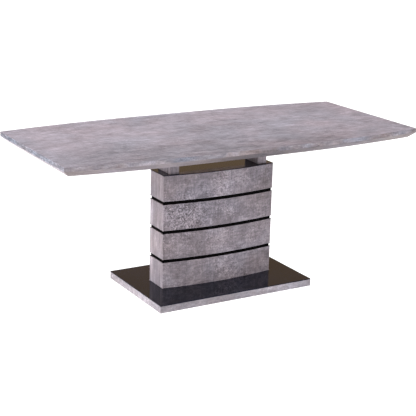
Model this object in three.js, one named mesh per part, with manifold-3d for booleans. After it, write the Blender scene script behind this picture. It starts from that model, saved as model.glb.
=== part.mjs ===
// Extendable pedestal dining table, shown pulled out with its leaf in place.
// Millimetres, +Z up, +X along the top, origin on the floor under the middle.
import * as THREE from 'three';
import { mergeVertices } from 'three/addons/utils/BufferGeometryUtils.js';
import Module from 'manifold-3d';

const wasm = await Module();
wasm.setup();

// ---- table top
const tableHeight = 750;
const tableLength = 1812;      // pulled out, leaf in place
const leafLength = 400;        // the two leaf panels together
const middleWidth = 830;       // the long edges are straight across the leaf
const endWidth = 726;          // and curve in to this at each end
const topThickness = 45;
const boardThickness = 22;
const edgeBand = 20;           // upright part of the edge, above the bevel
const bevelInset = 29;         // how far the bevel runs in under the top
const stripWidth = 78;         // build-up strips under the edges
const seamGap = 0.5;
const leafLiftPerSlide = 5;    // the leaf rises this much per mm that a half slides in
const edgeSteps = 14;

// ---- pedestal
const pedestalLength = 590;
const pedestalDepth = 130;     // at its two ends
const pedestalBow = 26;        // each long face stands out this much in the middle
const pedestalCorner = 4;
const pedestalWall = 18;
const bandCount = 4;
const bandHeight = 123;
const topBandHeight = 119.5;   // leaves room for the glass on top
const grooveHeight = 16;
const grooveRecess = 4;
const innerBoard = 18;         // bottom and cap boards inside the pedestal
const bowSteps = 14;
const cornerSteps = 3;

// ---- base
const baseLength = 812;
const baseDepth = 520;
const baseThickness = 32;
const glassThickness = 3.8;
const capGlassThickness = 3;
const glideHeight = 1.2;
const glideRadius = 20;
const glideInset = 55;
const fitGap = 0.3;            // left between pieces that touch

// ---- neck and bearers
const neckWidth = 46;
const neckDepth = 116;
const neckCentreX = 235.5;
const runnerStack = 38;        // from the channels that carry the rails up to the top boards
const bearerHeight = 24;
const bearerWidth = 50;
const bearerLength = 410;
const bearerWall = 3;

// ---- tie bolts from the base up into the bearers
const boltRadius = 5;
const boltClearance = 0.6;
const boltY = 36;
const nutAcross = 17;
const nutHeight = 8;
const headHeight = 6.4;
const counterboreRadius = 12;
const counterboreDepth = 10;
const boltEndAboveNut = 5;

// ---- runners
const railY = 167;
const railLength = 660;
const railWall = 3;
const railChannel = 26;        // inside width of each of its two channels
const railHeight = 24;
const runnerLength = 510;
const runnerOverhang = 150;    // how far a runner reaches past its half's inner edge
const runnerClearance = 1;

// ---- rack and pinion that keeps both halves in step
const gearModule = 3;
const pinionTeeth = 16;
const gearThickness = 12;
const pressureAngle = 20 * Math.PI / 180;
const toothHeight = 0.8;       // of the module, above the pitch line
const toothRoot = 1.1;         // of the module, below it
const backlash = 0.5;
const pinRadius = 6;
const pinClearance = 0.15;
const rackBack = 14;           // solid bar behind the teeth
const rackClearance = 3;       // above the plate that carries the pinion
const rackAnchor = 130;        // of each rack lies under its own half
const rackPastPinion = 24;
const plateThickness = 4;
const plateWidth = 120;

// ---- concealed barrel hinges between the leaf panels
const barrelRadius = 6;
const barrelLength = 14;
const barrelY = 250;

const finishes = {
  concrete: { color: 0x9a9295, roughness: 0.55, metalness: 0 },
  blackBoard: { color: 0x17161a, roughness: 0.5, metalness: 0 },
  blackGlass: { color: 0x0c0b0d, roughness: 0.06, metalness: 0 },
  rawBoard: { color: 0x9c7c5a, roughness: 0.8, metalness: 0 },
  steel: { color: 0xa9abad, roughness: 0.35, metalness: 1 },
  darkSteel: { color: 0x2b2c2e, roughness: 0.5, metalness: 0.6 },
  nylon: { color: 0x1a1a1b, roughness: 0.6, metalness: 0 },
};

// ---- sizes that follow
const halfLeaf = leafLength / 2;
const undersideZ = tableHeight - boardThickness;
const topBottomZ = tableHeight - topThickness;
const bevelTopZ = tableHeight - edgeBand;
const baseBottom = glideHeight + fitGap;
const baseTop = baseBottom + baseThickness;
const pedestalBottom = baseTop + fitGap + glassThickness + fitGap;
const bandPitch = bandHeight + grooveHeight;
const pedestalTop = pedestalBottom + (bandCount - 1) * bandPitch + topBandHeight;
const capGlassTop = pedestalTop + fitGap + capGlassThickness;
const bearerTop = undersideZ - runnerStack;
const bearerBottom = bearerTop - bearerHeight;
const boltHeadTop = baseBottom + counterboreDepth - fitGap;
const nutBottom = bearerBottom + bearerWall + fitGap;
const boltEnd = nutBottom + nutHeight + boltEndAboveNut;
const rackBottom = bearerTop + rackClearance;
const pitchRadius = gearModule * pinionTeeth / 2;
const runnerWidth = railChannel - 2 * runnerClearance;
const runnerOffset = (railChannel + railWall) / 2;

const group = new THREE.Group();

function addPiece(name, geometry, finish) {
  const material = new THREE.MeshStandardMaterial(finishes[finish]);
  const mesh = new THREE.Mesh(geometry, material);
  mesh.name = name;
  group.add(mesh);
  return mesh;
}

// ---- solids from geometry and back
function toSolid(geometry) {
  const bare = geometry.clone();
  bare.deleteAttribute('normal');
  bare.deleteAttribute('uv');
  const merged = mergeVertices(bare, 1e-4);
  return new wasm.Manifold(new wasm.Mesh({
    numProp: 3,
    vertProperties: Float32Array.from(merged.attributes.position.array),
    triVerts: Uint32Array.from(merged.index.array),
  }));
}

function toGeometry(solid) {
  const mesh = solid.getMesh();
  const geometry = new THREE.BufferGeometry();
  geometry.setAttribute('position', new THREE.BufferAttribute(mesh.vertProperties, 3));
  geometry.setIndex(new THREE.BufferAttribute(mesh.triVerts, 1));
  geometry.computeVertexNormals();
  return geometry;
}

function cutAway(geometry, tools) {
  let solid = toSolid(geometry);
  for (const tool of tools) solid = solid.subtract(toSolid(tool));
  return toGeometry(solid);
}

function joinUp(geometries) {
  let solid = toSolid(geometries[0]);
  for (const other of geometries.slice(1)) solid = solid.add(toSolid(other));
  return toGeometry(solid);
}

// ---- simple shapes
function boxBetween(x0, x1, y0, y1, z0, z1) {
  const geometry = new THREE.BoxGeometry(x1 - x0, y1 - y0, z1 - z0);
  return geometry.translate((x0 + x1) / 2, (y0 + y1) / 2, (z0 + z1) / 2);
}

function uprightCylinder(radius, x, y, z0, z1, sides = 24) {
  const geometry = new THREE.CylinderGeometry(radius, radius, z1 - z0, sides);
  return geometry.rotateX(Math.PI / 2).translate(x, y, (z0 + z1) / 2);
}

function uprightPrism(points, z0, z1, hole) {
  const shape = new THREE.Shape(points);
  if (hole) shape.holes.push(new THREE.Path(hole));
  const geometry = new THREE.ExtrudeGeometry(shape, { depth: z1 - z0, bevelEnabled: false });
  return geometry.translate(0, 0, z0);
}

// a section drawn in (y, z) and run along x
function runAlongX(section, x0, x1) {
  const shape = new THREE.Shape(section.map(([y, z]) => new THREE.Vector2(y, z)));
  const geometry = new THREE.ExtrudeGeometry(shape, { depth: x1 - x0, bevelEnabled: false });
  geometry.applyMatrix4(new THREE.Matrix4().makeBasis(
    new THREE.Vector3(0, 1, 0), new THREE.Vector3(0, 0, 1), new THREE.Vector3(1, 0, 0)));
  return geometry.translate(x0, 0, 0);
}

// closed body through outlines at rising heights, all with the same number of points
function stackOutlines(levels) {
  const count = levels[0].points.length;
  const positions = [];
  const index = [];
  for (const level of levels) {
    for (const point of level.points) positions.push(point.x, point.y, level.z);
  }
  for (let k = 0; k < levels.length - 1; k += 1) {
    for (let i = 0; i < count; i += 1) {
      const a = k * count + i;
      const b = k * count + (i + 1) % count;
      index.push(a, b, b + count, a, b + count, a + count);
    }
  }
  const lid = THREE.ShapeUtils.triangulateShape(levels[0].points, []);
  const last = (levels.length - 1) * count;
  for (const [a, b, c] of lid) index.push(c, b, a, last + a, last + b, last + c);
  const geometry = new THREE.BufferGeometry();
  geometry.setAttribute('position', new THREE.Float32BufferAttribute(positions, 3));
  geometry.setIndex(index);
  geometry.computeVertexNormals();
  return geometry;
}

// ---- outline of the top: half its width at x, straight over the leaf, then curving in
function halfWidthAt(x) {
  const past = Math.max(0, Math.abs(x) - halfLeaf) / (tableLength / 2 - halfLeaf);
  return middleWidth / 2 - (middleWidth - endWidth) / 2 * past * past;
}

function insetAt(z) {
  return z >= bevelTopZ ? 0 : bevelInset * (bevelTopZ - z) / (bevelTopZ - topBottomZ);
}

function strip2d(x0, x1, lowY, highY) {
  const points = [];
  const steps = Math.max(Math.abs(x0), Math.abs(x1)) > halfLeaf + 1 ? edgeSteps : 1;
  for (let i = 0; i <= steps; i += 1) {
    const x = x0 + (x1 - x0) * i / steps;
    points.push(new THREE.Vector2(x, lowY(x)));
  }
  for (let i = steps; i >= 0; i -= 1) {
    const x = x0 + (x1 - x0) * i / steps;
    points.push(new THREE.Vector2(x, highY(x)));
  }
  return points;
}

// ends of each part of the top: [x0, x1] at height z
const sections = {
  left_top: z => [-tableLength / 2 + insetAt(z), -halfLeaf - seamGap / 2],
  right_top: z => [halfLeaf + seamGap / 2, tableLength / 2 - insetAt(z)],
  leaf_left: z => [-halfLeaf + seamGap / 2 + (tableHeight - z) / leafLiftPerSlide, -seamGap / 2],
  leaf_right: z => [seamGap / 2, halfLeaf - seamGap / 2 - (tableHeight - z) / leafLiftPerSlide],
};

function topBoard(section) {
  const levels = [undersideZ, bevelTopZ, tableHeight].map(z => {
    const [x0, x1] = sections[section](z);
    const low = x => insetAt(z) - halfWidthAt(x);
    return { z, points: strip2d(x0, x1, low, x => -low(x)) };
  });
  return stackOutlines(levels);
}

function sideStrip(section, side) {
  const levels = [topBottomZ, undersideZ - fitGap].map(z => {
    const [x0, x1] = sections[section](z);
    const outer = x => side * (halfWidthAt(x) - insetAt(z));
    const inner = x => side * (halfWidthAt(x) - stripWidth);
    const [low, high] = side < 0 ? [outer, inner] : [inner, outer];
    return { z, points: strip2d(x0, x1, low, high) };
  });
  return stackOutlines(levels);
}

function endStrip(section, side) {
  const levels = [topBottomZ, undersideZ - fitGap].map(z => {
    const outerX = side * (tableLength / 2 - insetAt(z));
    const innerX = side * (tableLength / 2 - stripWidth);
    const x0 = Math.min(outerX, innerX);
    const x1 = Math.max(outerX, innerX);
    const high = x => halfWidthAt(x) - stripWidth - fitGap;
    return { z, points: strip2d(x0, x1, x => -high(x), high) };
  });
  return stackOutlines(levels);
}

// ---- pedestal outline, bowed front and back with rounded upright corners
function pedestalOutline(inset) {
  const a = pedestalLength / 2 - inset;
  const d = pedestalDepth / 2 - inset;
  const corner = Math.max(1, pedestalCorner - inset / 4);
  const points = [];
  for (const side of [-1, 1]) {
    for (let i = 0; i <= bowSteps; i += 1) {
      const x = side * (a - corner) * (1 - 2 * i / bowSteps);
      const bow = pedestalBow * (1 - (x / a) ** 2);
      points.push(new THREE.Vector2(x, side * (d + bow)));
    }
    const turn = new THREE.QuadraticBezierCurve(
      points[points.length - 1].clone(),
      new THREE.Vector2(-side * a, side * d),
      new THREE.Vector2(-side * a, side * (d - corner)),
    );
    for (let i = 1; i <= cornerSteps; i += 1) points.push(turn.getPoint(i / cornerSteps));
    const back = new THREE.QuadraticBezierCurve(
      new THREE.Vector2(-side * a, -side * (d - corner)),
      new THREE.Vector2(-side * a, -side * d),
      new THREE.Vector2(-side * (a - corner), -side * (d + pedestalBow * (1 - ((a - corner) / a) ** 2))),
    );
    for (let i = 0; i < cornerSteps; i += 1) points.push(back.getPoint(i / cornerSteps));
  }
  return points;
}

const boltPlaces = [-1, 1].flatMap(sx => [-1, 1].map(sy => [sx * neckCentreX, sy * boltY]));

function boltHoles(z0, z1) {
  return boltPlaces.map(([x, y]) => uprightCylinder(boltRadius + boltClearance, x, y, z0 - 1, z1 + 1, 16));
}

// ---- base
function buildBase() {
  const [a, d] = [baseLength / 2, baseDepth / 2];
  const counterbores = boltPlaces.map(([x, y]) => uprightCylinder(
    counterboreRadius, x, y, baseBottom - 1, baseBottom + counterboreDepth));
  addPiece('base_board', cutAway(boxBetween(-a, a, -d, d, baseBottom, baseTop),
    [...boltHoles(baseBottom, baseTop), ...counterbores]), 'concrete');
  const glassBottom = baseTop + fitGap;
  const glassTop = glassBottom + glassThickness;
  addPiece('base_glass', cutAway(boxBetween(-a, a, -d, d, glassBottom, glassTop),
    boltHoles(glassBottom, glassTop)), 'blackGlass');
  let number = 1;
  for (const sx of [-1, 1]) {
    for (const sy of [-1, 1]) {
      const glide = uprightCylinder(glideRadius, sx * (a - glideInset), sy * (d - glideInset), 0, glideHeight, 32);
      addPiece(`base_glide_${number}`, glide, 'nylon');
      number += 1;
    }
  }
}

// ---- pedestal: four hollow bands with recessed spacers between them
function buildPedestal() {
  for (let k = 0; k < bandCount; k += 1) {
    const z0 = pedestalBottom + k * bandPitch;
    const height = k === bandCount - 1 ? topBandHeight : bandHeight;
    addPiece(`pedestal_band_${k + 1}`,
      uprightPrism(pedestalOutline(0), z0, z0 + height, pedestalOutline(pedestalWall)), 'concrete');
    if (k === bandCount - 1) break;
    const low = z0 + bandHeight + fitGap;
    const high = z0 + bandPitch - fitGap;
    addPiece(`groove_spacer_${k + 1}`,
      uprightPrism(pedestalOutline(grooveRecess), low, high, pedestalOutline(pedestalWall)), 'blackBoard');
  }
  const inner = pedestalOutline(pedestalWall + fitGap);
  const floorTop = pedestalBottom + innerBoard;
  addPiece('pedestal_floor_board', cutAway(uprightPrism(inner, pedestalBottom, floorTop),
    boltHoles(pedestalBottom, floorTop)), 'rawBoard');
  addPiece('pedestal_cap_board', cutAway(uprightPrism(inner, pedestalTop - innerBoard, pedestalTop),
    boltHoles(pedestalTop - innerBoard, pedestalTop)), 'rawBoard');
  addPiece('pedestal_cap_glass', cutAway(
    uprightPrism(pedestalOutline(0), pedestalTop + fitGap, capGlassTop),
    boltHoles(pedestalTop, capGlassTop)), 'blackGlass');
}

// ---- neck blocks, channel bearers and the tie bolts that hold the stack together
function buildNeck() {
  for (const [side, sx] of [['left', -1], ['right', 1]]) {
    const [x0, x1] = [sx * neckCentreX - neckWidth / 2, sx * neckCentreX + neckWidth / 2];
    const [z0, z1] = [capGlassTop + fitGap, bearerBottom - fitGap];
    addPiece(`neck_block_${side}`, cutAway(
      boxBetween(x0, x1, -neckDepth / 2, neckDepth / 2, z0, z1), boltHoles(z0, z1)), 'concrete');
    const [b0, b1] = [sx * neckCentreX - bearerWidth / 2, sx * neckCentreX + bearerWidth / 2];
    const y = bearerLength / 2;
    addPiece(`bearer_${side}`, cutAway(
      boxBetween(b0, b1, -y, y, bearerBottom, bearerTop), [
        boxBetween(b0 + bearerWall, b1 - bearerWall, -y - 1, y + 1, bearerBottom + bearerWall, bearerTop + 1),
        ...boltHoles(bearerBottom, bearerBottom + bearerWall),
      ]), 'darkSteel');
  }
  const hexRadius = nutAcross / Math.sqrt(3);
  boltPlaces.forEach(([x, y], k) => {
    addPiece(`tie_bolt_${k + 1}`, joinUp([
      uprightCylinder(hexRadius, x, y, boltHeadTop - headHeight, boltHeadTop, 6),
      uprightCylinder(boltRadius, x, y, boltHeadTop - 1, boltEnd, 16),
    ]), 'steel');
    addPiece(`tie_nut_${k + 1}`, cutAway(
      uprightCylinder(hexRadius, x, y, nutBottom, nutBottom + nutHeight, 6),
      [uprightCylinder(boltRadius + fitGap, x, y, nutBottom - 1, nutBottom + nutHeight + 1, 16)]), 'steel');
  });
}

// ---- fixed rails with two channels each, and the runners that slide in them
function railSection(y, z0) {
  const outer = railChannel + 1.5 * railWall;
  const floor = z0 + railWall;
  const top = z0 + railHeight;
  return [
    [y - outer, z0], [y + outer, z0], [y + outer, top], [y + outer - railWall, top],
    [y + outer - railWall, floor], [y + railWall / 2, floor], [y + railWall / 2, top],
    [y - railWall / 2, top], [y - railWall / 2, floor], [y - outer + railWall, floor],
    [y - outer + railWall, top], [y - outer, top],
  ];
}

function buildRunners() {
  const railBottom = bearerTop + fitGap;
  const runnerBottom = railBottom + railWall + fitGap;
  const runnerTop = undersideZ - fitGap;
  for (const [place, sy] of [['front', -1], ['back', 1]]) {
    addPiece(`rail_${place}`,
      runAlongX(railSection(sy * railY, railBottom), -railLength / 2, railLength / 2), 'darkSteel');
    for (const [side, sx] of [['left', -1], ['right', 1]]) {
      const y = sy * (railY + sx * runnerOffset);
      const innerEnd = sx * (halfLeaf - runnerOverhang);
      const outerEnd = sx * (halfLeaf - runnerOverhang + runnerLength);
      addPiece(`${side}_runner_${place}`, boxBetween(
        Math.min(innerEnd, outerEnd), Math.max(innerEnd, outerEnd),
        y - runnerWidth / 2, y + runnerWidth / 2, runnerBottom, runnerTop), 'steel');
    }
  }
}

// ---- gear teeth
function involutePoint(baseRadius, radius) {
  const t = Math.sqrt(Math.max(0, (radius / baseRadius) ** 2 - 1));
  return t - Math.atan(t);
}

function pinionOutline() {
  const baseRadius = pitchRadius * Math.cos(pressureAngle);
  const tip = pitchRadius + toothHeight * gearModule;
  const root = pitchRadius - toothRoot * gearModule;
  const flankSteps = 4;
  const halfTooth = (Math.PI * gearModule / 2 - backlash / 2) / (2 * pitchRadius);
  const atPitch = involutePoint(baseRadius, pitchRadius);
  const points = [];
  for (let k = 0; k < pinionTeeth; k += 1) {
    const middle = 2 * Math.PI * (k + 0.5) / pinionTeeth;
    const flank = [];
    for (let i = 0; i <= flankSteps; i += 1) {
      const radius = Math.max(root, baseRadius) + (tip - Math.max(root, baseRadius)) * i / flankSteps;
      flank.push([radius, halfTooth + atPitch - involutePoint(baseRadius, radius)]);
    }
    if (root < baseRadius) flank.unshift([root, flank[0][1]]);
    for (const [radius, angle] of flank) {
      points.push(new THREE.Vector2(radius * Math.cos(middle - angle), radius * Math.sin(middle - angle)));
    }
    for (const [radius, angle] of flank.reverse()) {
      points.push(new THREE.Vector2(radius * Math.cos(middle + angle), radius * Math.sin(middle + angle)));
    }
  }
  return points;
}

// the left half's rack, with teeth facing -y along the pitch line y = pitchRadius
function rackOutline() {
  const pitch = Math.PI * gearModule;
  const tipY = pitchRadius - toothHeight * gearModule;
  const rootY = pitchRadius + toothRoot * gearModule;
  const start = -halfLeaf - rackAnchor;
  const toothRange = halfLeaf + rackPastPinion;
  const lean = Math.tan(pressureAngle);
  const halfAtPitch = pitch / 4 - backlash / 4;
  const points = [new THREE.Vector2(start, rootY)];
  const firstTooth = -Math.floor(toothRange / pitch);
  // a pinion space faces +y when its tooth count is a multiple of four
  const phase = pinionTeeth % 4 === 0 ? 0 : pitch / 4 * (pinionTeeth % 4);
  for (let k = firstTooth; k <= Math.floor(rackPastPinion / pitch) - 1; k += 1) {
    const middle = k * pitch + phase;
    const halfRoot = halfAtPitch + (rootY - pitchRadius) * lean;
    const halfTip = halfAtPitch - (pitchRadius - tipY) * lean;
    points.push(new THREE.Vector2(middle - halfRoot, rootY), new THREE.Vector2(middle - halfTip, tipY));
    points.push(new THREE.Vector2(middle + halfTip, tipY), new THREE.Vector2(middle + halfRoot, rootY));
  }
  points.push(new THREE.Vector2(rackPastPinion, rootY));
  points.push(new THREE.Vector2(rackPastPinion, rootY + rackBack));
  points.push(new THREE.Vector2(start, rootY + rackBack));
  return points;
}

function buildSynchroniser() {
  const rackTop = rackBottom + gearThickness;
  const plateBottom = bearerTop - plateThickness;
  const plateReach = railY + railChannel + 1.5 * railWall;
  const pinHole = uprightCylinder(pinRadius + fitGap, 0, 0, plateBottom - 1, bearerTop + 1, 32);
  addPiece('centre_plate', cutAway(boxBetween(
    -plateWidth / 2, plateWidth / 2, -plateReach, plateReach, plateBottom, bearerTop), [pinHole]), 'darkSteel');
  addPiece('pinion', cutAway(uprightPrism(pinionOutline(), rackBottom, rackTop),
    [uprightCylinder(pinRadius + pinClearance, 0, 0, rackBottom - 1, rackTop + 1, 32)]), 'nylon');
  addPiece('pinion_pin', joinUp([
    uprightCylinder(pinRadius, 0, 0, plateBottom, rackTop + 2, 32),
    uprightCylinder(pinRadius + 4, 0, 0, rackTop + fitGap, rackTop + 4, 32),
  ]), 'steel');
  const blockY0 = pitchRadius + toothRoot * gearModule;
  const blockY1 = blockY0 + rackBack;
  for (const [side, sx] of [['left', -1], ['right', 1]]) {
    const rack = uprightPrism(rackOutline(), rackBottom, rackTop);
    const block = boxBetween(-halfLeaf - rackAnchor, -halfLeaf - fitGap, blockY0, blockY1,
      rackTop + fitGap, undersideZ - fitGap);
    if (sx > 0) {
      rack.rotateZ(Math.PI);
      block.rotateZ(Math.PI);
    }
    addPiece(`${side}_rack`, rack, 'nylon');
    addPiece(`${side}_rack_block`, block, 'rawBoard');
  }
}

// ---- the two halves of the top and the folding leaf between them
function buildTop() {
  for (const [side, sx] of [['left', -1], ['right', 1]]) {
    const section = `${side}_top`;
    addPiece(`${section}_board`, topBoard(section), 'concrete');
    addPiece(`${section}_front_strip`, sideStrip(section, -1), 'concrete');
    addPiece(`${section}_back_strip`, sideStrip(section, 1), 'concrete');
    addPiece(`${section}_end_strip`, endStrip(section, sx), 'concrete');
  }
  const barrelZ = undersideZ + boardThickness / 2;
  for (const [side, sx] of [['left', -1], ['right', 1]]) {
    const section = `leaf_${side}`;
    const holes = [-1, 1].map(sy => new THREE.CylinderGeometry(
      barrelRadius + fitGap, barrelRadius + fitGap, 2 * (barrelLength + 2 * fitGap), 24)
      .rotateZ(Math.PI / 2).translate(0, sy * barrelY, barrelZ));
    addPiece(`${section}_board`, cutAway(topBoard(section), holes), 'concrete');
    addPiece(`${section}_front_strip`, sideStrip(section, -1), 'concrete');
    addPiece(`${section}_back_strip`, sideStrip(section, 1), 'concrete');
    for (const [place, sy] of [['front', -1], ['back', 1]]) {
      const middle = sx * (seamGap / 2 + barrelLength / 2);
      addPiece(`${section}_hinge_${place}`, new THREE.CylinderGeometry(barrelRadius, barrelRadius, barrelLength, 24)
        .rotateZ(Math.PI / 2).translate(middle, sy * barrelY, barrelZ), 'steel');
    }
  }
}

buildBase();
buildPedestal();
buildNeck();
buildRunners();
buildSynchroniser();
buildTop();

export default group;
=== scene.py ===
import math

import bpy
from mathutils import Matrix, Vector


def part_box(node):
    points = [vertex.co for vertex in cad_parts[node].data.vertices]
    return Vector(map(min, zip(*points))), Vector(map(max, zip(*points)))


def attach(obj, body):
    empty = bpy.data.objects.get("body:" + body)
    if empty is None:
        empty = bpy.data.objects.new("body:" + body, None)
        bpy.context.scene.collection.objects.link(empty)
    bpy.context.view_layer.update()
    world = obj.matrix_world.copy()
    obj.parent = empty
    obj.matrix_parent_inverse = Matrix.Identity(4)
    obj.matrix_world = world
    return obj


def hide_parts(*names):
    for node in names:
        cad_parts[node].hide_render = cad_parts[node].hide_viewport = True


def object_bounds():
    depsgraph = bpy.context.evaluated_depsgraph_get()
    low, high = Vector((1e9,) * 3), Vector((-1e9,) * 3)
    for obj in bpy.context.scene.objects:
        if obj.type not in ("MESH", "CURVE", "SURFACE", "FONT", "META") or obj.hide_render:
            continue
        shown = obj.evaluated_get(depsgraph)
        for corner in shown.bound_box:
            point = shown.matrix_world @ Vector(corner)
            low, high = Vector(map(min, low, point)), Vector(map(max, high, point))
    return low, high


mm = 0.001
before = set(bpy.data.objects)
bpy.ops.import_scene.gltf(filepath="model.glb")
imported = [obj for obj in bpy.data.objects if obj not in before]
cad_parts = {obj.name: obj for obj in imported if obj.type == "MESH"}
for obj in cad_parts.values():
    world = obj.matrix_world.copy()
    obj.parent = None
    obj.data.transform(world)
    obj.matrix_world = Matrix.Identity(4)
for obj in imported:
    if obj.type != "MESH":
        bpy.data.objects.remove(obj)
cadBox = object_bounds()
print("frame loaded:", len(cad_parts), "nodes")

camera = {
    "place": (-2.622, -4.410, 1.873),
    "turn": 30.53,   # degrees clockwise from +Y
    "dip": 16.31,
    "roll": 1.43,
    "lens": 97.8,
    "sensor": 36.0,
    "farthest": 60,  # metres it can see
}


def addCamera():
    data = bpy.data.cameras.new("camera")
    data.lens = camera["lens"]
    data.sensor_width = camera["sensor"]
    data.clip_end = camera["farthest"]
    cam = bpy.data.objects.new("camera", data)
    aim = Matrix.Rotation(-math.radians(camera["turn"]), 4, "Z")
    aim = aim @ Matrix.Rotation(math.radians(90 - camera["dip"]), 4, "X")
    aim = aim @ Matrix.Rotation(math.radians(camera["roll"]), 4, "Z")
    cam.matrix_world = Matrix.Translation(camera["place"]) @ aim
    bpy.context.scene.collection.objects.link(cam)
    bpy.context.scene.camera = cam


def linearColor(hexCode):
    parts = [int(hexCode[i:i + 2], 16) / 255 for i in (1, 3, 5)]
    return tuple(p / 12.92 if p <= 0.04045 else ((p + 0.055) / 1.055) ** 2.4 for p in parts) + (1,)


def addNode(tree, kind, settings=None, links=None):
    # settings: node fields and fixed socket values; links: socket -> the node or socket that feeds it
    node = tree.nodes.new(kind)
    for key, value in (settings or {}).items():
        if isinstance(key, str) and hasattr(node, key):
            setattr(node, key, value)
        else:
            node.inputs[key].default_value = value
    for key, source in (links or {}).items():
        tree.links.new(getattr(source, "outputs", [source])[0], node.inputs[key])
    return node


studio = {
    "seenWhite": "#ffffff",
    "ambient": "#f3f0fa",
    "ambientStrength": 0.18,
    "mirrored": "#b69a7b",  # what polished surfaces see round the table
    "mirroredStrength": 0.95,
    "floor": "#f4f3f5",
    "floorSize": 60,
    "floorSeen": 1.4,       # slightly over-exposed, as a lit white sweep is
    "floorGlow": 0.24,      # lights the underside of the table, as a white cove does
    "spotBlend": 1.0,
    "spotSoftness": 0.3,
    # name, kind, place, aim, size in metres or cone in degrees, watts, whether it leaves a glare;
    # the two spots lift the foot of the pedestal
    "lamps": [
        ("sideSoftbox", "AREA", (-4.4, -0.6, 0.9), (0, 0, 0.2), 3.0, 165, False),
        ("overhead", "AREA", (0, 0.6, 4.2), (0, 0, 0.7), 3.5, 147, True),
        ("frontFill", "AREA", (2.5, -4.6, 0.2), (0.1, 0, 0), 2.6, 114, False),
        ("lowFront", "SPOT", (1.5, -3.4, 0.4), (0.1, -0.09, 0), 18, 85, False),
        ("lowSide", "SPOT", (-3.6, -1.0, 0.4), (-0.3, 0, -0.02), 12, 330, False),
    ],
}


def addStudio():
    world = bpy.data.worlds.new("studio")
    world.use_nodes = True
    bpy.context.scene.world = world
    tree = world.node_tree
    tree.nodes.clear()
    rays = addNode(tree, "ShaderNodeLightPath")
    ambient = addNode(tree, "ShaderNodeBackground",
                      {"Color": linearColor(studio["ambient"]), "Strength": studio["ambientStrength"]})
    mirrored = addNode(tree, "ShaderNodeBackground",
                       {"Color": linearColor(studio["mirrored"]), "Strength": studio["mirroredStrength"]})
    seen = addNode(tree, "ShaderNodeBackground", {"Color": linearColor(studio["seenWhite"]), "Strength": 1.0})
    lit = addNode(tree, "ShaderNodeMixShader", None,
                  {0: rays.outputs["Is Glossy Ray"], 1: ambient.outputs[0], 2: mirrored.outputs[0]})
    both = addNode(tree, "ShaderNodeMixShader", None,
                   {0: rays.outputs["Is Camera Ray"], 1: lit.outputs[0], 2: seen.outputs[0]})
    addNode(tree, "ShaderNodeOutputWorld", None, {"Surface": both.outputs[0]})

    bpy.ops.object.select_all(action="DESELECT")
    bpy.ops.mesh.primitive_plane_add(size=studio["floorSize"], location=(0, 0, 0))
    floor = bpy.context.object
    floor.name = "studio_floor"
    paint = bpy.data.materials.new("paleFloor")
    paint.use_nodes = True
    tree = paint.node_tree
    tree.nodes.clear()
    # it lights the table, yet is seen as plain white with no shadow
    chalk = addNode(tree, "ShaderNodeBsdfDiffuse", {"Color": linearColor(studio["floor"])})
    glow = addNode(tree, "ShaderNodeEmission", {"Color": (1, 1, 1, 1), "Strength": studio["floorGlow"]})
    lit = addNode(tree, "ShaderNodeAddShader", None, {0: chalk.outputs[0], 1: glow.outputs[0]})
    seen = addNode(tree, "ShaderNodeEmission", {
        "Color": linearColor(studio["seenWhite"]), "Strength": studio["floorSeen"]})
    rays = addNode(tree, "ShaderNodeLightPath")
    both = addNode(tree, "ShaderNodeMixShader", None,
                   {0: rays.outputs["Is Camera Ray"], 1: lit.outputs[0], 2: seen.outputs[0]})
    addNode(tree, "ShaderNodeOutputMaterial", None, {"Surface": both.outputs[0]})
    floor.data.materials.append(paint)

    for name, kind, place, target, spread, watts, glare in studio["lamps"]:
        data = bpy.data.lights.new(name, kind)
        data.energy = watts
        if kind == "AREA":
            data.size = spread
        else:
            data.spot_size = math.radians(spread)
            data.spot_blend = studio["spotBlend"]
            data.shadow_soft_size = studio["spotSoftness"]
        lamp = bpy.data.objects.new(name, data)
        lamp.visible_glossy = glare
        lamp.visible_camera = False
        lamp.location = place
        lamp.rotation_euler = (Vector(target) - Vector(place)).to_track_quat("-Z", "Y").to_euler()
        bpy.context.scene.collection.objects.link(lamp)
    bpy.context.scene.view_settings.view_transform = "Standard"
    bpy.context.scene.view_settings.look = "None"


addCamera()
addStudio()
print("camera and studio ready")


def newMaterial(name):
    material = bpy.data.materials.new(name)
    material.use_nodes = True
    tree = material.node_tree
    return material, tree, tree.nodes["Principled BSDF"]


# Decor paper printed as cast concrete, pressed on MDF under a matt lacquer: cloudy grey-mauve with
# fine drawn streaks, small pits and pale lime flecks, and a low satin sheen. The print's grain, pits
# and flecks are 1 to 4 mm, drawn coarser here so that they show.
# layers: size in mm, axis it runs along, how far it is drawn out, detail, share of the tone
# marks: place, reach in mm, how much paler, how much more speckled; on the top they are painted light and
# shade, on the bevel partly so, on the pedestal they are patches of the print
foilTop = {
    "dark": "#6b6269", "middle": "#a49aa2", "light": "#d2cad1", "cool": "#9d9ba9", "warm": "#a39aa6",
    "layers": [(130, "x", 2.0, 4, 0.30), (42, "x", 2.4, 4, 0.34), (13, "x", 4.0, 3, 0.42),
               (7, "x", 7.0, 2, 0.30), (9, "y", 6.0, 2, 0.14)],
    "grainSize": 7, "grainShare": 0.36, "hueSize": 300,
    "pitSize": 15, "pitShare": 0.10, "fleckSize": 17, "fleckShare": 0.20,
    "roughness": 0.46, "bump": 0.10, "shift": (0.13, 0.41, 0.0),
    # painted light and shade: darker towards the near edge and a little in the middle, paler at the back
    # left, as the light falls
    "marks": [((-0.62, -0.30, 0.75), 300, -0.20, 0.0), ((-0.21, -0.40, 0.75), 350, -0.24, 0.0),
              ((0.26, -0.42, 0.75), 350, -0.22, 0.0), ((-0.05, 0.0, 0.75), 260, -0.07, 0.0),
              ((-0.70, 0.14, 0.75), 400, 0.09, 0.0)],
}
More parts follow.
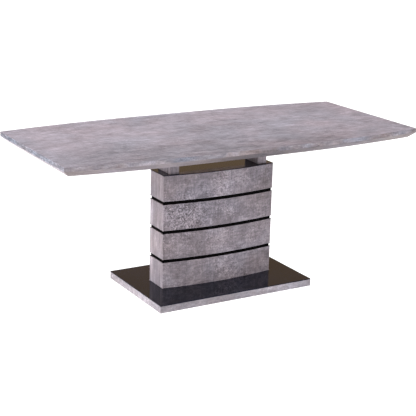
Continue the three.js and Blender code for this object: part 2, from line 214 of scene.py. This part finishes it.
foilEdge = dict(
    foilTop, dark="#646069", middle="#9f9ba3", light="#d6d3da", cool="#9b9dab", warm="#a89a9b",
    layers=[(170, "x", 1.6, 4, 0.50), (22, "x", 4.0, 3, 0.44), (9, "x", 3.0, 2, 0.30)],
    grainShare=0.44, pitShare=0.35, pitSize=17, hueSize=200, shift=(0.7, 0.2, 0.0), marks=[])
foilEndEdge = dict(
    foilEdge, dark="#4e4e5a", middle="#86868f", light="#cfced8", cool="#8a8e9c", warm="#8d8890",
    layers=[(70, "y", 2.5, 4, 0.40), (16, "y", 4.0, 3, 0.50), (8, "y", 3.0, 2, 0.45)])
# a darker copy of the top's print on the long bevels, which face down: painted shade. Its marks paint the
# left end paler as lit, and make it darker in the middle over the pedestal and paler towards the right end
foilBevel = dict(
    foilTop, dark="#5f5759", middle="#8a8082", light="#b4abaf", cool="#868087", warm="#8a8080",
    layers=[(90, "x", 3.0, 4, 0.30), (14, "x", 6.0, 3, 0.35), (7, "x", 9.0, 2, 0.25)],
    grainShare=0.25, shift=(0.2, 0.9, 0.3),
    marks=[((-0.66, -0.35, 0.7), 420, 0.22, 0.0), ((0.0, -0.4, 0.7), 330, -0.28, 0.0),
           ((0.8, -0.35, 0.7), 300, 0.12, 0.0)])
# a paler copy of the print on the bevels at the ends: painted light
foilEndBevel = dict(
    foilBevel, dark="#8d8286", middle="#b9afb4", light="#d8d0d4", cool="#b4adb5", warm="#beb0b3",
    layers=[(90, "y", 3.0, 4, 0.30), (14, "y", 6.0, 3, 0.35)], marks=[])
foilPedestal = dict(
    foilTop, dark="#545055", middle="#8e878d", light="#c8c4cb", cool="#8f8a94", warm="#968b90",
    layers=[(110, "x", 1.3, 4, 0.30), (45, "x", 1.4, 4, 0.32), (16, "x", 1.6, 3, 0.28),
            (8, "x", 8.0, 2, 0.20), (8, "z", 7.0, 2, 0.18)],
    grainSize=7.5, grainShare=0.52, hueSize=240, pitSize=12, pitShare=0.40, fleckSize=14,
    fleckShare=0.34, bump=0.14, shift=(0.3, 0.0, 0.6),
    marks=[((-0.20, -0.09, 0.385), 130, 0.02, 1.5), ((0.04, -0.09, 0.38), 55, 0.14, 0.9),
           ((0.22, -0.08, 0.25), 170, 0.10, 0.1), ((-0.22, -0.08, 0.22), 110, -0.05, 0.0),
           ((0.00, -0.09, 0.51), 105, 0.18, 0.55), ((0.00, -0.09, 0.24), 100, 0.15, 0.45),
           ((0.02, -0.09, 0.10), 105, 0.13, 0.45)])
foilPlinth = dict(
    foilPedestal, dark="#6c686c", middle="#a8a2a8", light="#dad6dc", cool="#a6a2ab", warm="#afa6aa",
    layers=[(110, "x", 2.0, 4, 0.34), (20, "x", 3.0, 3, 0.40), (9, "x", 4.0, 2, 0.25)],
    pitShare=0.25, marks=[])
foilUpright = dict(
    foilPedestal, dark="#5c575c", middle="#948d93", light="#cec9cf",
    layers=[(90, "z", 1.5, 4, 0.26), (30, "z", 8.0, 3, 0.42), (13, "z", 12.0, 2, 0.46)],
    grainShare=0.30, pitShare=0.15, fleckShare=0.12, marks=[])
# a paler copy of the pedestal foil on the eased edges of the bands: a painted highlight
foilPaintedHighlight = dict(foilPedestal, dark="#8c838a", middle="#b5acb3", light="#dcd6db")
foilLooks = {
    "concreteFoilTop": foilTop,
    "concreteFoilEdge": foilEdge,
    "concreteFoilEndEdge": foilEndEdge,
    "concreteFoilBevel": foilBevel,
    "concreteFoilEndBevel": foilEndBevel,
    "concreteFoilPedestal": foilPedestal,
    "concreteFoilUpright": foilUpright,
    "concreteFoilArris": foilPaintedHighlight,    # the eased edges of the bands, painted paler as a highlight
    "concreteFoilPlinth": foilPlinth,  # paler, as the edge of the base is
}
foilPrint = {
    "patchSize": 170,          # mm, the patches where the print is speckled
    "patchStarts": 0.42,
    "patchFull": 0.66,
    "leastSpeckled": 0.45,
    "markCore": 0.25,          # share of a mark's reach that is at full strength
    "pitRim": 0.34,
    "pitFloor": 0.16,
    "fleckStarts": 0.55,
    "fleckFull": 0.68,
    "hueFrom": 0.36,
    "hueTo": 0.64,
    "darkRougher": 0.09,
    "lightSmoother": 0.07,
    "ior": 1.5,
    "lacquerSheen": 0.35,
    "relief": 0.6 * mm,
}


def concreteFoil(name, look):
    material, tree, shader = newMaterial(name)
    place = addNode(tree, "ShaderNodeTexCoord").outputs["Object"]
    shifted = addNode(tree, "ShaderNodeMapping", {"Location": look["shift"]}, {"Vector": place})
    tone = None
    start = 0.5 - sum(layer[4] for layer in look["layers"])
    for size, axis, drawnOut, detail, share in look["layers"]:
        scale = [1 / drawnOut if axis == other else 1 for other in "xyz"]
        laid = addNode(tree, "ShaderNodeMapping", {"Location": look["shift"], "Scale": scale},
                       {"Vector": place})
        pattern = addNode(tree, "ShaderNodeTexNoise", {
            "Scale": 1000 / size, "Detail": detail, "Roughness": 0.6, "Distortion": 0.25}, {"Vector": laid})
        tone = addNode(tree, "ShaderNodeMath", {"operation": "MULTIPLY_ADD", 1: 2 * share, 2: start},
                       {0: pattern, 2: tone} if tone else {0: pattern})

    patches = addNode(tree, "ShaderNodeTexNoise", {"Scale": 1000 / foilPrint["patchSize"], "Detail": 2},
                      {"Vector": shifted})
    speckled = addNode(tree, "ShaderNodeMapRange", {
        "From Min": foilPrint["patchStarts"], "From Max": foilPrint["patchFull"],
        "To Min": foilPrint["leastSpeckled"], "To Max": 1.0}, {"Value": patches})
    for centre, reach, paler, rougher in look["marks"]:
        apart = addNode(tree, "ShaderNodeVectorMath", {"operation": "DISTANCE", 1: centre}, {0: place})
        near = addNode(tree, "ShaderNodeMapRange", {
            "From Min": reach * mm, "From Max": foilPrint["markCore"] * reach * mm},
            {"Value": apart.outputs["Value"]})
        tone = addNode(tree, "ShaderNodeMath", {"operation": "MULTIPLY_ADD", 1: paler}, {0: near, 2: tone})
        speckled = addNode(tree, "ShaderNodeMath", {"operation": "MULTIPLY_ADD", 1: rougher},
                           {0: near, 2: speckled})

    # grain, pits and flecks show most where the print is speckled
    grain = addNode(tree, "ShaderNodeTexNoise", {
        "Scale": 1000 / look["grainSize"], "Detail": 2, "Roughness": 0.7}, {"Vector": shifted})
    pits = addNode(tree, "ShaderNodeTexVoronoi", {"Scale": 1000 / look["pitSize"]}, {"Vector": shifted})
    flecks = addNode(tree, "ShaderNodeTexNoise", {
        "Scale": 1000 / look["fleckSize"], "Detail": 3, "Roughness": 0.7, "Distortion": 0.8},
        {"Vector": shifted})
    for pattern, low, high, toLow, toHigh in (
        (grain, 0, 1, -look["grainShare"], look["grainShare"]),
        (pits, foilPrint["pitRim"], foilPrint["pitFloor"], 0, -look["pitShare"] / 2),
        (flecks, foilPrint["fleckStarts"], foilPrint["fleckFull"], 0, look["fleckShare"]),
    ):
        spots = addNode(tree, "ShaderNodeMapRange", {
            "From Min": low, "From Max": high, "To Min": toLow, "To Max": toHigh}, {"Value": pattern})
        tone = addNode(tree, "ShaderNodeMath", {"operation": "MULTIPLY_ADD"},
                       {0: spots, 1: speckled, 2: tone})

    ramp = addNode(tree, "ShaderNodeValToRGB", None, {"Fac": tone})
    ramp.color_ramp.elements[0].color = linearColor(look["dark"])
    ramp.color_ramp.elements[1].color = linearColor(look["light"])
    ramp.color_ramp.elements.new(0.5).color = linearColor(look["middle"])
    drift = addNode(tree, "ShaderNodeTexNoise", {
        "Scale": 1000 / look["hueSize"], "Detail": 3, "Roughness": 0.55, "Distortion": 0.3},
        {"Vector": shifted})
    hue = addNode(tree, "ShaderNodeMapRange", {
        "From Min": foilPrint["hueFrom"], "From Max": foilPrint["hueTo"]}, {"Value": drift})
    tint = addNode(tree, "ShaderNodeMix", {
        "data_type": "RGBA", 6: linearColor(look["cool"]), 7: linearColor(look["warm"])}, {"Factor": hue})
    mixed = addNode(tree, "ShaderNodeMix", {"data_type": "RGBA", "blend_type": "COLOR", 0: 1.0},
                    {6: ramp, 7: tint.outputs[2]})
    tree.links.new(mixed.outputs[2], shader.inputs["Base Color"])
    rough = addNode(tree, "ShaderNodeMapRange", {
        "To Min": look["roughness"] + foilPrint["darkRougher"],
        "To Max": look["roughness"] - foilPrint["lightSmoother"]}, {"Value": tone})
    tree.links.new(rough.outputs[0], shader.inputs["Roughness"])
    shader.inputs["IOR"].default_value = foilPrint["ior"]
    shader.inputs["Specular IOR Level"].default_value = foilPrint["lacquerSheen"]
    relief = addNode(tree, "ShaderNodeBump", {"Strength": look["bump"], "Distance": foilPrint["relief"]},
                     {"Height": tone})
    tree.links.new(relief.outputs[0], shader.inputs["Normal"])
    return material


# colour, roughness, metal, IOR, mottling of the colour, its size in mm, bump; an orange peel or grain
# finer than about 3 mm is drawn that coarse, to show
plainLooks = {
    # toughened float glass painted black on its back: a clear deep gloss, weaker than a mirror; its blue-grey
    # colour and broad mottling are a painted blue sheen
    "toughenedBlackGlass": ("#141a2c", 0.03, 0.0, 1.28, 0.3, 330, 0.0),
    # black melamine-faced chipboard: dull black, a faint orange peel
    "blackMelamineBoard": ("#030304", 0.7, 0.0, 1.15, 0.25, 9, 0.08),
    # kraft balancing paper on the underside of the boards: warm grey-brown, dry
    "balancingPaper": ("#bda496", 0.85, 0.0, 1.45, 0.10, 22, 0.10),
    # raw MDF: pressed fibre, tan, dry and felted
    "rawMdf": ("#a88a68", 0.9, 0.0, 1.45, 0.22, 5, 0.15),
    # black powder coat on folded steel: satin with a fine orange peel
    "blackPowderCoat": ("#1b1b1d", 0.45, 0.0, 1.5, 0.15, 3, 0.20),
    # bright zinc plate on steel: pale, slightly blue, with a soft drawn sheen
    "zincPlate": ("#b4b7bc", 0.32, 1.0, 1.5, 0.12, 12, 0.05),
    # moulded black nylon: matt with a waxy sheen
    "blackNylon": ("#18181a", 0.55, 0.0, 1.53, 0.15, 6, 0.08),
    # black plastic glides moulded with a coarse texture: dull, unevenly dark
    "texturedBlackPlastic": ("#2b2a2b", 0.95, 0.0, 1.4, 0.4, 4, 0.5),
}
plainRelief = 0.3 * mm


def plainMaterial(name, hexCode, roughness, metal, ior, mottle, sizeInMm, bump):
    material, tree, shader = newMaterial(name)
    place = addNode(tree, "ShaderNodeTexCoord").outputs["Object"]
    pattern = addNode(tree, "ShaderNodeTexNoise", {"Scale": 1000 / sizeInMm, "Detail": 5, "Roughness": 0.6},
                      {"Vector": place})
    red, green, blue, _ = linearColor(hexCode)
    ramp = addNode(tree, "ShaderNodeValToRGB", None, {"Fac": pattern})
    for element, position, amount in zip(ramp.color_ramp.elements, (0.3, 0.7), (1 - mottle, 1 + mottle)):
        element.position = position
        element.color = (red * amount, green * amount, blue * amount, 1)
    tree.links.new(ramp.outputs[0], shader.inputs["Base Color"])
    rough = addNode(tree, "ShaderNodeMapRange", {
        "To Min": roughness * 0.8, "To Max": roughness * 1.2}, {"Value": pattern})
    tree.links.new(rough.outputs[0], shader.inputs["Roughness"])
    shader.inputs["Metallic"].default_value = metal
    if not metal:
        shader.inputs["IOR"].default_value = ior
    if bump:
        relief = addNode(tree, "ShaderNodeBump", {"Strength": bump, "Distance": plainRelief},
                         {"Height": pattern})
        tree.links.new(relief.outputs[0], shader.inputs["Normal"])
    return material


materials = {name: plainMaterial(name, *look) for name, look in plainLooks.items()}
materials.update({name: concreteFoil(name, look) for name, look in foilLooks.items()})
print("materials made:", len(materials))

edgeAngles = {  # degrees between faces
    "smoothBelow": 35,
    "easeAbove": 30,
    "mergeBelow": 1,
}


def makeActive(obj):
    bpy.ops.object.select_all(action="DESELECT")
    obj.select_set(True)
    bpy.context.view_layer.objects.active = obj


def applyModifier(obj, kind, **fields):
    makeActive(obj)
    modifier = obj.modifiers.new(kind.lower(), kind)
    for key, value in fields.items():
        setattr(modifier, key, value)
    bpy.ops.object.modifier_apply(modifier=modifier.name)


def smoothShade(obj):
    makeActive(obj)
    bpy.ops.object.shade_smooth_by_angle(angle=math.radians(edgeAngles["smoothBelow"]))
    applyModifier(obj, "WEIGHTED_NORMAL", keep_sharp=True)  # flat faces stay flat up to their eased edges


def roundEdges(obj, width, segments=2):
    applyModifier(obj, "BEVEL", width=width, segments=segments, limit_method="ANGLE",
                  angle_limit=math.radians(edgeAngles["easeAbove"]))
    smoothShade(obj)


def finishPiece(obj, body, slotName, nodes, *materialNames):
    obj.data.materials.clear()
    for name in materialNames:
        obj.data.materials.append(materials[name])
    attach(obj, body)
    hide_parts(*nodes)


# lookOf() names one of the piece's materials for each face
def paintFaces(obj, lookOf):
    worn = list(obj.data.materials)
    for face in obj.data.polygons:
        face.material_index = worn.index(materials[lookOf(face)])


# a CAD node's own shape with its sharp edges eased
def easedCopy(node, name, width):
    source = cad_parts[node]
    obj = bpy.data.objects.new(name, source.data.copy())
    bpy.context.scene.collection.objects.link(obj)
    obj.matrix_world = source.matrix_world
    makeActive(obj)
    bpy.ops.object.transform_apply(location=True, rotation=True, scale=True)
    bpy.ops.object.mode_set(mode="EDIT")
    bpy.ops.mesh.select_all(action="SELECT")
    bpy.ops.mesh.remove_doubles(threshold=0.01 * mm)
    bpy.ops.mesh.dissolve_limited(angle_limit=math.radians(edgeAngles["mergeBelow"]))
    bpy.ops.object.mode_set(mode="OBJECT")
    roundEdges(obj, width)
    return obj


highest = cadBox[1]
topHeight = highest.z
top = {
    "halfLength": highest.x,
    "halfMiddle": highest.y,   # half width across the leaf
    "halfEnd": 0.363,
    "leafReach": 0.2,          # the long edges are straight this far from the middle
    "seamGap": 0.25 * mm,      # on each side of a seam
    "leafTaper": 1 / 45,       # the leaf's ends lean in a little under the top
    "band": 20 * mm,
    "bevel": 29 * mm,
    "thickness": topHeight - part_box("left_top_front_strip")[0].z,
    "board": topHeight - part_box("left_top_board")[0].z,
    "boardPlay": 0.15 * mm,    # the recess stops this far under the board
    "strip": 78 * mm,
    "cutPast": 20 * mm,        # how far the recess is cut past the piece
    "easing": 1.2 * mm,
    "easingSteps": 3,
    "seamEasing": 0.2 * mm,
    "steps": 30,
    "leafSteps": 2,
    "seamFace": 3 * mm,        # faces and edges this near a seam are part of the joint
    "rim": 1.3,                # foil goes this many bevels in from the outline
    "upward": 0.5,             # z of a face's normal: the top face is above this,
    "bandward": -0.3,          # the band above this and the bevel below it,
    "downward": -0.95,         # the underside below this
    "endward": 0.9,            # x of a face's normal in the joint
}


def halfWidth(x):
    past = max(0.0, abs(x) - top["leafReach"]) / (top["halfLength"] - top["leafReach"])
    return top["halfMiddle"] - (top["halfMiddle"] - top["halfEnd"]) * past ** 2


# a block on a unit grid, one layer for each level, that shape() then moves to its real place
def gridBlock(name, steps, layers, shape):
    bpy.ops.object.select_all(action="DESELECT")
    bpy.ops.mesh.primitive_grid_add(x_subdivisions=steps, y_subdivisions=2, size=2, location=(0, 0, 0))
    obj = bpy.context.object
    obj.name = name
    bpy.ops.object.mode_set(mode="EDIT")
    bpy.ops.mesh.select_all(action="SELECT")
    for _ in range(layers - 1):
        bpy.ops.mesh.extrude_region_move(TRANSFORM_OT_translate={"value": (0, 0, -1)})
    bpy.ops.mesh.select_all(action="SELECT")
    bpy.ops.mesh.normals_make_consistent(inside=False)
    bpy.ops.object.mode_set(mode="OBJECT")
    for vertex in obj.data.vertices:
        vertex.co = shape((vertex.co.x + 1) / 2, vertex.co.y, round(-vertex.co.z))
    obj.data.update()
    return obj


def topLookOf(face):
    normal, centre = face.normal, face.center
    rim = top["rim"] * top["bevel"]
    onRim = abs(centre.y) > halfWidth(centre.x) - rim or abs(centre.x) > top["halfLength"] - rim
    fromSeam = min(abs(centre.x), abs(abs(centre.x) - top["leafReach"]))
    endways = abs(normal.x) > abs(normal.y)
    if normal.z > top["upward"]:
        return "concreteFoilTop"
    if abs(normal.x) > top["endward"] and fromSeam < top["seamFace"]:
        return "concreteFoilEndEdge"
    if not onRim or normal.z < top["downward"]:
        return "balancingPaper"
    if normal.z > top["bandward"]:
        return "concreteFoilEndEdge" if endways else "concreteFoilEdge"
    return "concreteFoilEndBevel" if endways else "concreteFoilBevel"


# endsAt(depth, inset) gives where a piece starts and stops along x, recessEnds the same for its recess
def topPart(name, body, nodes, endsAt, recessEnds, steps):
    depths = [0, top["band"], top["thickness"]]

    def slab(along, across, level):
        depth = depths[level]
        inset = top["bevel"] if level == 2 else 0.0
        x0, x1 = endsAt(depth, inset)
        x = x0 + (x1 - x0) * along
        return x, across * (halfWidth(x) - inset), topHeight - depth

    def recess(along, across, level):
        x = recessEnds[0] + (recessEnds[1] - recessEnds[0]) * along
        depth = top["board"] + top["boardPlay"] if level == 0 else top["thickness"] + top["cutPast"]
        return x, across * (halfWidth(x) - top["strip"]), topHeight - depth

    obj = gridBlock(name, steps, 3, slab)
    weights = obj.data.attributes.new("bevel_weight_edge", "FLOAT", "EDGE")
    seams = [x for x in endsAt(0, 0) if abs(x) < top["halfLength"] - mm]
    for edge in obj.data.edges:
        ends = [obj.data.vertices[k].co for k in edge.vertices]
        onSeam = any(all(abs(co.x - seam) < top["seamFace"] for co in ends) for seam in seams)
        weights.data[edge.index].value = top["seamEasing"] / top["easing"] if onSeam else 1.0
    applyModifier(obj, "BEVEL", width=top["easing"], segments=top["easingSteps"], limit_method="WEIGHT")
    cutter = gridBlock(name + "_recess", steps, 2, recess)
    applyModifier(obj, "BOOLEAN", object=cutter, operation="DIFFERENCE", solver="EXACT")
    bpy.data.objects.remove(cutter)
    smoothShade(obj)
    finishPiece(obj, body, "concrete_foil_top", nodes, "concreteFoilTop", "concreteFoilEdge",
                "concreteFoilBevel", "balancingPaper", "concreteFoilEndEdge", "concreteFoilEndBevel")
    paintFaces(obj, topLookOf)


def addTop():
    end, reach, gap = top["halfLength"], top["leafReach"], top["seamGap"]
    strip, past, taper = top["strip"], top["cutPast"], top["leafTaper"]
    topPart("left_top", "left_top",
            ["left_top_board", "left_top_front_strip", "left_top_back_strip", "left_top_end_strip"],
            lambda depth, inset: (-end + inset, -reach - gap),
            (-end + strip, -reach + past), top["steps"])
    topPart("right_top", "right_top",
            ["right_top_board", "right_top_front_strip", "right_top_back_strip", "right_top_end_strip"],
            lambda depth, inset: (reach + gap, end - inset),
            (reach - past, end - strip), top["steps"])
    topPart("left_leaf", "leaf_left",
            ["leaf_left_board", "leaf_left_front_strip", "leaf_left_back_strip"],
            lambda depth, inset: (-reach + gap + depth * taper, -gap),
            (-reach - past / 2, past), top["leafSteps"])
    topPart("right_leaf", "leaf_right",
            ["leaf_right_board", "leaf_right_front_strip", "leaf_right_back_strip"],
            lambda depth, inset: (gap, reach - gap - depth * taper),
            (-past, reach + past / 2), top["leafSteps"])


addTop()
print("top and leaf modelled")

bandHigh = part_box("pedestal_band_1")[1]
pedestal = {
    "halfLength": bandHigh.x,
    "halfDepth": 65 * mm,            # at the ends
    "bow": bandHigh.y - 65 * mm,
    "corner": 4 * mm,
    "leastCorner": 1 * mm,
    "wall": 18 * mm,
    "recess": 4 * mm,
    "easing": 1.8 * mm,
    "easingSteps": 3,
    "grooveEasing": 0.4 * mm,
    "glassEasing": 0.7 * mm,
    "bowSteps": 40,
    "cornerSteps": 6,
    "arrisFacing": (0.15, 0.95),     # z of a face's normal on the eased edges, which get the painted highlight
    "endFacing": 0.7,                # x of a face's normal at the ends
}


# the bowed outline: two bows, and a corner curve before and after each end
def pedestalOutline(inset):
    a = pedestal["halfLength"] - inset
    d = pedestal["halfDepth"] - inset
    corner = max(pedestal["leastCorner"], pedestal["corner"] - inset / 4)
    shoulder = d + pedestal["bow"] * (1 - ((a - corner) / a) ** 2)
    steps = pedestal["cornerSteps"]
    points = []
    for side in (-1, 1):
        for i in range(pedestal["bowSteps"]):
            x = side * (a - corner) * (1 - 2 * i / pedestal["bowSteps"])
            points.append((x, side * (d + pedestal["bow"] * (1 - (x / a) ** 2))))
        endX, bowX = -side * a, -side * (a - corner)
        turns = [((bowX, side * shoulder), (endX, side * d), (endX, side * (d - corner)), steps + 1),
                 ((endX, -side * (d - corner)), (endX, -side * d), (bowX, -side * shoulder), steps)]
        for first, middle, last, stop in turns:
            for i in range(stop):
                t = i / steps
                points.append(tuple((1 - t) ** 2 * p + 2 * t * (1 - t) * q + t * t * r
                                    for p, q, r in zip(first, middle, last)))
    return points


def outlinePiece(name, inset, z0, z1, filled):
    points = pedestalOutline(inset)
    bpy.ops.object.select_all(action="DESELECT")
    bpy.ops.mesh.primitive_circle_add(vertices=len(points), radius=1, location=(0, 0, 0),
                                      fill_type="NGON" if filled else "NOTHING")
    obj = bpy.context.object
    obj.name = name
    for vertex, (x, y) in zip(obj.data.vertices, points):
        vertex.co = (x, y, z0)
    bpy.ops.object.mode_set(mode="EDIT")
    bpy.ops.mesh.select_all(action="SELECT")
    extrude = bpy.ops.mesh.extrude_region_move if filled else bpy.ops.mesh.extrude_edges_move
    extrude(TRANSFORM_OT_translate={"value": (0, 0, z1 - z0)})
    bpy.ops.mesh.select_all(action="SELECT")
    bpy.ops.mesh.normals_make_consistent(inside=False)
    bpy.ops.object.mode_set(mode="OBJECT")
    if not filled:
        applyModifier(obj, "SOLIDIFY", thickness=pedestal["wall"] - inset, offset=-1, use_even_offset=True)
    return obj


def bandLookOf(face):
    low, high = pedestal["arrisFacing"]
    if low < abs(face.normal.z) < high:
        return "concreteFoilArris"
    return "concreteFoilUpright" if abs(face.normal.x) > pedestal["endFacing"] else "concreteFoilPedestal"


def addPedestal():
    for k in range(1, 5):
        low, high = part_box(f"pedestal_band_{k}")
        band = outlinePiece(f"foil_band_{k}", 0, low.z, high.z, False)
        roundEdges(band, pedestal["easing"], pedestal["easingSteps"])
        finishPiece(band, "pedestal", "concrete_foil_pedestal", [f"pedestal_band_{k}"],
                    "concreteFoilPedestal", "concreteFoilArris", "concreteFoilUpright")
        paintFaces(band, bandLookOf)
    for k in range(1, 4):
        low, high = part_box(f"groove_spacer_{k}")
        spacer = outlinePiece(f"groove_board_{k}", pedestal["recess"], low.z, high.z, False)
        roundEdges(spacer, pedestal["grooveEasing"], 1)
        finishPiece(spacer, "pedestal", "black_board", [f"groove_spacer_{k}"], "blackMelamineBoard")
    low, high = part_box("pedestal_cap_glass")
    capGlass = outlinePiece("cap_glass", 0, low.z, high.z, True)
    roundEdges(capGlass, pedestal["glassEasing"])
    finishPiece(capGlass, "pedestal", "black_glass", ["pedestal_cap_glass"], "toughenedBlackGlass")


addPedestal()
print("pedestal modelled")

base = {
    "easing": 1.2 * mm,
    "paperFacing": -0.9,  # z of a face's normal: the underside is below this
}


def addBase():
    plinth = easedCopy("base_board", "base_plinth", base["easing"])
    finishPiece(plinth, "pedestal", "concrete_foil_pedestal", ["base_board"],
                "concreteFoilPlinth", "balancingPaper")
    paintFaces(plinth, lambda face: "balancingPaper" if face.normal.z < base["paperFacing"]
               else "concreteFoilPlinth")


addBase()
print("base modelled")

slotMaterials = {
    "concrete_foil_pedestal": "concreteFoilUpright",
    "black_glass": "toughenedBlackGlass",
    "raw_board": "rawMdf",
    "black_painted_steel": "blackPowderCoat",
    "zinc_plated_steel": "zincPlate",
    "gear_nylon": "blackNylon",
    "glide_plastic": "texturedBlackPlastic",
}
easedNodes = {  # node: (piece, body, slot, easing in mm)
    "base_glass": ("base_black_glass", "pedestal", "black_glass", 0.7),
    "pedestal_floor_board": ("floor_board", "pedestal", "raw_board", 0.6),
    "pedestal_cap_board": ("cap_board", "pedestal", "raw_board", 0.6),
    "centre_plate": ("gear_plate", "pedestal", "black_painted_steel", 0.5),
    "pinion_pin": ("gear_pin", "pedestal", "zinc_plated_steel", 0.5),
    "pinion": ("gear", "pinion", "gear_nylon", 0.3),
}
for side in ("left", "right"):
    easedNodes.update({
        f"neck_block_{side}": (f"neck_{side}", "pedestal", "concrete_foil_pedestal", 1.2),
        f"bearer_{side}": (f"bearer_channel_{side}", "pedestal", "black_painted_steel", 0.8),
        f"{side}_rack": (f"rack_{side}", f"{side}_top", "gear_nylon", 0.3),
        f"{side}_rack_block": (f"rack_packer_{side}", f"{side}_top", "raw_board", 0.6),
    })
    for place in ("front", "back"):
        easedNodes.update({
            f"{side}_runner_{place}": (f"runner_{side}_{place}", f"{side}_top", "zinc_plated_steel", 1.0),
            f"leaf_{side}_hinge_{place}": (f"barrel_{side}_{place}", f"leaf_{side}",
                                           "zinc_plated_steel", 0.4),
        })
for place in ("front", "back"):
    easedNodes[f"rail_{place}"] = (f"channel_rail_{place}", "pedestal", "black_painted_steel", 0.5)
for k in range(1, 5):
    easedNodes.update({
        f"base_glide_{k}": (f"glide_{k}", "pedestal", "glide_plastic", 0.8),
        f"tie_bolt_{k}": (f"long_bolt_{k}", "pedestal", "zinc_plated_steel", 0.4),
        f"tie_nut_{k}": (f"nut_{k}", "pedestal", "zinc_plated_steel", 0.6),
    })
for node, (piece, body, slotName, easing) in easedNodes.items():
    finishPiece(easedCopy(node, piece, easing * mm), body, slotName, [node], slotMaterials[slotName])
print("eased pieces:", len(easedNodes))

print("cad box", [round(v, 4) for corner in cadBox for v in corner])
